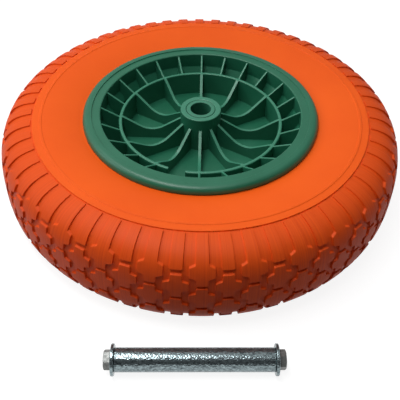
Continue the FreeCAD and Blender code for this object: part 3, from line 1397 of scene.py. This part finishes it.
@dataclass(frozen=True)
class ZincFinish:
    """Zinc coat on steel: a spangle of light and dark crystals over dull blotches, and small pits.

    The depth of the pits is in millimetres.
    """

    BUMP: ClassVar[float] = 0.8
    BLOTCH_SCALE: ClassVar[float] = 0.7
    CRYSTAL_SHARE: ClassVar[float] = 0.35

    name: str
    dark: Colour
    light: Colour
    crystals: float
    stretch: float
    roughness: Point
    pit_depth: float
    metal: float

    def material(self) -> Material:
        """Builds the material from crystals and blotches.

        Returns:
            The material.
        """
        made, nodes = new_material(self.name)
        drawn = nodes.add("ShaderNodeMapping", {"Vector": nodes.place(), "Scale": (self.stretch, 1.0, 1.0)})
        vector = drawn.outputs["Vector"]
        cells = nodes.add(
            "ShaderNodeTexVoronoi", {"Vector": vector, "Scale": self.crystals, "Randomness": 1.0}
        ).outputs
        blotches = nodes.noise(vector, self.crystals * self.BLOTCH_SCALE, detail=5.0, roughness=0.7)
        dull = nodes.spread(blotches, 0.3, 0.7, low=-0.1, high=0.75)
        crystal = nodes.add("ShaderNodeSeparateColor", {0: cells["Color"]}).outputs[0]
        spangle = nodes.math("MULTIPLY_ADD", crystal, self.CRYSTAL_SHARE, dull, clamp=True)
        bump = nodes.add(
            "ShaderNodeBump",
            {"Strength": self.BUMP, "Distance": self.pit_depth * MM, "Height": cells["Distance"]},
        )
        smooth, rough = self.roughness
        nodes.set(
            made.node_tree.nodes["Principled BSDF"],
            {
                "Base Color": nodes.blend(spangle, opaque(self.dark), opaque(self.light)),
                "Metallic": self.metal,
                "Roughness": nodes.spread(spangle, 0.0, 1.0, low=rough, high=smooth),
                "Normal": bump.outputs["Normal"],
            },
        )
        return made


TYRE_FOAM = MouldedFinish(
    name="tyre foam",
    dark=(0.80, 0.090, 0.005),
    light=(0.88, 0.116, 0.008),
    patches=14.0,
    contrast=1.4,
    roughness=(0.48, 0.62),
    specular=0.16,
    fine=1300.0,
    waves=90.0,
    depth=0.10,
    zone=Zone.TREAD,
    # zone_shade: darker red for the tread's streaks and its painted shade
    zone_shade=(0.62, 0.052, 0.006),
)
RIM_PLASTIC = MouldedFinish(
    name="rim plastic",
    dark=(0.011, 0.124, 0.064),
    light=(0.019, 0.156, 0.086),
    patches=30.0,
    contrast=1.5,
    roughness=(0.34, 0.48),
    specular=0.5,
    fine=1500.0,
    waves=120.0,
    depth=0.05,
    zone=Zone.TOPS,
    # zone_shade: lighter green painted as a highlight on the level tops of ribs, ring and hub
    zone_shade=(0.040, 0.215, 0.130),
)
BUSH_PLASTIC = MouldedFinish(
    name="bush plastic",
    dark=(0.014, 0.125, 0.068),
    light=(0.022, 0.155, 0.090),
    patches=60.0,
    contrast=1.5,
    roughness=(0.4, 0.55),
    specular=0.5,
    fine=1800.0,
    waves=150.0,
    depth=0.05,
    zone=Zone.TOPS,
    # zone_shade: lighter green painted as a highlight on the bush's level end
    zone_shade=(0.040, 0.205, 0.125),
)
BAR_ZINC = ZincFinish(
    name="bar zinc",
    dark=(0.04, 0.058, 0.064),
    light=(0.38, 0.47, 0.49),
    crystals=820.0,
    stretch=0.7,
    roughness=(0.13, 0.26),
    pit_depth=0.20,
    metal=0.8,
)
BOLT_ZINC = ZincFinish(
    name="bolt zinc",
    dark=(0.15, 0.157, 0.152),
    light=(0.28, 0.29, 0.28),
    crystals=700.0,
    stretch=1.0,
    roughness=(0.35, 0.5),
    pit_depth=0.03,
    metal=0.45,
)


@dataclass(frozen=True)
class Lamp:
    """Soft lamp aimed at the wheel, in metres and watts."""

    name: str
    place: Corner
    size: Point
    power: float

    def hang(self) -> None:
        """Hangs the lamp in the scene."""
        data = bpy.data.lights.new(self.name, "AREA")
        data.shape, data.energy = "RECTANGLE", self.power
        data.size, data.size_y = self.size
        holder = bpy.data.objects.new(self.name, data)
        holder.matrix_world = Matrix.Translation(self.place) @ aimed(-Vector(self.place))
        bpy.context.scene.collection.objects.link(holder)


LAMPS = (
    Lamp("overhead", place=(-0.27, -0.12, 1.1), size=(0.94, 0.18), power=8.1),
    Lamp("left", place=(-1.15, -0.1, 0.7), size=(0.4, 0.6), power=2.4),
)


def aimed(direction: Vector) -> Matrix:
    """Turn that points a camera or a lamp along a direction."""
    return direction.to_track_quat("-Z", "Y").to_matrix().to_4x4()


@dataclass
class Studio:
    """Camera at the photo's angle, soft lights and a plain pale floor.

    Sizes are in metres and angles in radians. The lens and its sensor are in millimetres. The walls'
    brightness goes by the share of a turn: 0.25 behind the wheel, 0.5 overhead and 0.75 in front.
    """

    WALL_LEVELS: ClassVar[tuple[Point, ...]] = (
        (0.0, 0.25), (0.25, 0.50), (0.42, 0.80), (0.52, 0.80),
        (0.575, 0.15), (0.62, 0.04), (0.80, 0.04), (1.0, 0.25),
    )

    elevation: float = 0.700
    camera_distance: float = 0.68535
    roll: float = 0.023
    lens: float = 58.8
    sensor: float = 36.0
    clip: Point = (0.01, 50.0)
    shift: float = -0.147
    floor_height: float = -0.04552
    floor_size: float = 12.0
    floor_shade: float = 0.25
    floor_glow: float = 0.88
    side_slope: float = -0.50
    side_level: float = 0.78
    horizon: Point = (0.06, 0.14)

    def camera(self) -> None:
        """Places the camera in front of the wheel, looking down at the middle of its bore."""
        data = bpy.data.cameras.new("camera")
        data.lens, data.sensor_width, data.shift_y = self.lens, self.sensor, self.shift
        data.clip_start, data.clip_end = self.clip
        holder = bpy.data.objects.new("camera", data)
        back = Vector((0.0, -math.cos(self.elevation), math.sin(self.elevation)))
        roll = Matrix.Rotation(self.roll, 4, "Z")
        holder.matrix_world = Matrix.Translation(back * self.camera_distance) @ aimed(-back) @ roll
        bpy.context.scene.collection.objects.link(holder)
        bpy.context.scene.camera = holder

    @staticmethod
    def _seen(nodes: NodeBuilder, mirrored: NodeSocket | float = 1.0) -> NodeSocket:
        """Share of the pale look that a ray gets.

        Args:
            nodes: Builder of the tree that asks.
            mirrored: Share for a ray off a glossy or through a clear surface.

        Returns:
            1 for a camera ray, the given share for a mirrored one, and 0 for soft light.
        """
        path = nodes.add("ShaderNodeLightPath").outputs
        off_mirror = nodes.math("ADD", path["Is Glossy Ray"], path["Is Transmission Ray"], clamp=True)
        return nodes.math("MULTIPLY_ADD", off_mirror, mirrored, path["Is Camera Ray"], clamp=True)

    def floor(self) -> None:
        """Lays the floor, which looks pale to the camera and in reflections and throws little light up."""
        made, nodes = new_material("pale floor")
        made.node_tree.nodes.remove(made.node_tree.nodes["Principled BSDF"])
        shaded = nodes.add("ShaderNodeBsdfDiffuse", {"Color": grey(self.floor_shade)}).outputs[0]
        glow = nodes.add("ShaderNodeEmission", {"Color": grey(1.0), "Strength": self.floor_glow})
        bright = nodes.add("ShaderNodeAddShader", {0: shaded, 1: glow.outputs[0]})
        mixed = nodes.add("ShaderNodeMixShader", {0: self._seen(nodes), 1: shaded, 2: bright.outputs[0]})
        nodes.set(made.node_tree.nodes["Material Output"], {"Surface": mixed.outputs[0]})
        bm = bmesh.new()
        bmesh.ops.create_grid(bm, x_segments=1, y_segments=1, size=self.floor_size / 2)
        bmesh.ops.translate(bm, vec=(0, 0, self.floor_height), verts=bm.verts)
        mesh = bpy.data.meshes.new("floor")
        bm.to_mesh(mesh)
        bm.free()
        placed(mesh, made)

    def room(self) -> None:
        """Lights the room: bright overhead and behind, dim in front, pale where a view meets the horizon."""
        world = bpy.data.worlds.new("room")
        bpy.context.scene.world = world
        world.use_nodes = True
        nodes = NodeBuilder(world.node_tree)
        at = nodes.parts(nodes.add("ShaderNodeTexCoord").outputs["Generated"])
        tilt = nodes.math("ARCTAN2", nodes.math("MULTIPLY", at["Y"], -1.0), at["Z"])
        ramp = nodes.add("ShaderNodeValToRGB", {0: nodes.spread(tilt, -math.pi, math.pi)})
        stops = ramp.color_ramp.elements
        while len(stops) < len(self.WALL_LEVELS):
            stops.new(0.5)
        for stop, (place, level) in zip(stops, self.WALL_LEVELS):
            stop.position, stop.color = place, grey(level)
        sideways = nodes.math("MULTIPLY_ADD", at["X"], self.side_slope, self.side_level)
        walls = world.node_tree.nodes["Background"]
        nodes.set(walls, {"Color": ramp.outputs[0], "Strength": sideways})
        white = nodes.add("ShaderNodeBackground", {"Color": grey(1.0), "Strength": 1.0})
        low = nodes.spread(at["Z"], self.horizon[1], self.horizon[0])
        seen = self._seen(nodes, low)
        mixed = nodes.add("ShaderNodeMixShader", {0: seen, 1: walls.outputs[0], 2: white.outputs[0]})
        nodes.set(world.node_tree.nodes["World Output"], {"Surface": mixed.outputs[0]})

    def build(self) -> None:
        """Sets up the whole studio."""
        self.camera()
        self.floor()
        self.room()
        for lamp in LAMPS:
            lamp.hang()
        bpy.context.scene.view_settings.view_transform = "Standard"


def corners(box: tuple[Vector, Vector]) -> list[list[float]]:
    """Two corners as plain lists of numbers."""
    return [list(corner) for corner in box]


def main() -> None:
    """Builds the studio and dresses the wheel piece by piece."""
    logging.basicConfig(level=logging.INFO)
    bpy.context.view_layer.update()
    Studio().build()
    kit = ShaderKit()
    rings = RingOfCopies()
    Tyre(rings, TYRE_FOAM.material(kit)).build()
    Rim(rings, RIM_PLASTIC.material(kit)).build()
    bush_plastic = BUSH_PLASTIC.material(kit)
    for side in Side:
        Bush(bush_plastic, side).build()
    AxleSet(BAR_ZINC.material(), BOLT_ZINC.material()).build()


if __name__ == "__main__":
    main()
